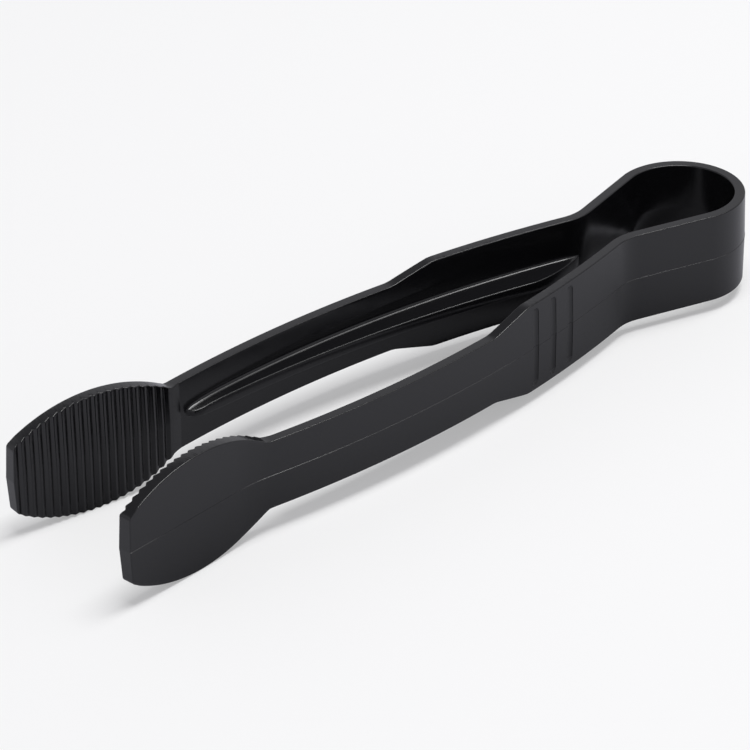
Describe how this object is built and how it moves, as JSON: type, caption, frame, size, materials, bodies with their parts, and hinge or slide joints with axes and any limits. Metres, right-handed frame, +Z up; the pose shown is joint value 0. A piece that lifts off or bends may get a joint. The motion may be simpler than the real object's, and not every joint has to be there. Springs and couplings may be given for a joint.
{
  "type": "spring loaded kitchen tongs",
  "caption": "Moulded plastic kitchen tongs: two arms with toothed leaf-shaped jaws, stiffening ribs and grooved grips, sprung open by a round bow that flexes at its necks.",
  "frame": {"origin": "middle of the outline in plan, on the surface that the tongs lie on when they rest on the edges of their jaws and bow", "axes": "+X from the jaws to the spring bow, +Y from the left arm to the right arm, +Z up from the resting surface"},
  "size_m": [0.2293, 0.0484, 0.0323],
  "materials": {
    "black_plastic": "moulded glossy black plastic, satin on the handles"
  },
  "bodies": {
    "bow": {"spring_bow": "black_plastic"},
    "left_arm": {"left_neck": "black_plastic", "left_handle": "black_plastic", "left_forearm": "black_plastic", "left_rib": "black_plastic", "left_jaw": "black_plastic"},
    "right_arm": {"right_neck": "black_plastic", "right_handle": "black_plastic", "right_forearm": "black_plastic", "right_rib": "black_plastic", "right_jaw": "black_plastic"}
  },
  "joints": [
    {"name": "left_arm_flex", "type": "hinge", "parent": "bow", "child": "left_arm", "pos_m": [0.08154, -0.01243, 0.01615], "axis": [0, 0, -1], "range_deg": [-3, 5.7], "stiffness_Nm_per_rad": 2.52},
    {"name": "right_arm_flex", "type": "hinge", "parent": "bow", "child": "right_arm", "pos_m": [0.08154, 0.01243, 0.01615], "axis": [0, 0, 1], "range_deg": [-3, 5.7], "stiffness_Nm_per_rad": 2.52}
  ],
  "couplings": [
    {"joint": "right_arm_flex", "follows": "left_arm_flex", "ratio": 1}
  ]
}
